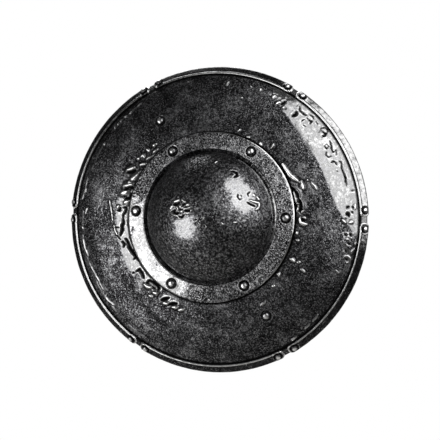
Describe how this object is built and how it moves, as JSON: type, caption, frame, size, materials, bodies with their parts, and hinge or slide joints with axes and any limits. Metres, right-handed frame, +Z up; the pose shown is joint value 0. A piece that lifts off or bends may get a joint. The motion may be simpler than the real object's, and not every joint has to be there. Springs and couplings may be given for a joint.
{
  "type": "buckler",
  "caption": "Small round shield: dished steel plate, domed boss under a riveted ring, folded rim strips, and a hand grip across the hollow behind.",
  "frame": {"origin": "middle of the hand grip's bar, on the shield's axis", "axes": "-Y is the way the shield faces, +Y is towards the hand and the body, +Z is up as it is held, +X is to the right for someone who looks at its face"},
  "size_m": [0.3299, 0.08, 0.33],
  "materials": {
    "plate_steel": "blackened, hammered and pitted, rubbed bright on high spots",
    "boss_steel": "blackened, smoother than the plate, with a few dents",
    "ring_steel": "blackened, rubbed on the edges",
    "binding_steel": "blackened, rubbed along the fold",
    "rivet_iron": "blackened, rubbed bright on the heads",
    "grip_iron": "dark forge scale",
    "grip_wood": "oiled, worn by the hand"
  },
  "bodies": {
    "root": {"dished_plate": "plate_steel", "boss": "boss_steel", "boss_ring": "ring_steel", "ring_rivet_1": "rivet_iron", "ring_rivet_2": "rivet_iron", "ring_rivet_3": "rivet_iron", "ring_rivet_4": "rivet_iron", "ring_rivet_5": "rivet_iron", "ring_rivet_6": "rivet_iron", "rim_binding_1": "binding_steel", "rim_binding_2": "binding_steel", "rim_binding_3": "binding_steel", "rim_binding_4": "binding_steel", "rim_binding_5": "binding_steel", "rim_binding_6": "binding_steel", "rim_rivet_1": "rivet_iron", "rim_rivet_2": "rivet_iron", "rim_rivet_3": "rivet_iron", "rim_rivet_4": "rivet_iron", "rim_rivet_5": "rivet_iron", "rim_rivet_6": "rivet_iron", "rim_rivet_7": "rivet_iron", "rim_rivet_8": "rivet_iron", "rim_rivet_9": "rivet_iron", "rim_rivet_10": "rivet_iron", "rim_rivet_11": "rivet_iron", "rim_rivet_12": "rivet_iron", "grip_rivet_1": "rivet_iron", "grip_rivet_2": "rivet_iron", "grip_bar": "grip_iron", "grip_scale_back": "grip_wood", "grip_scale_front": "grip_wood", "grip_pin_1": "rivet_iron", "grip_pin_2": "rivet_iron", "grip_pin_3": "rivet_iron"}
  },
  "joints": []
}
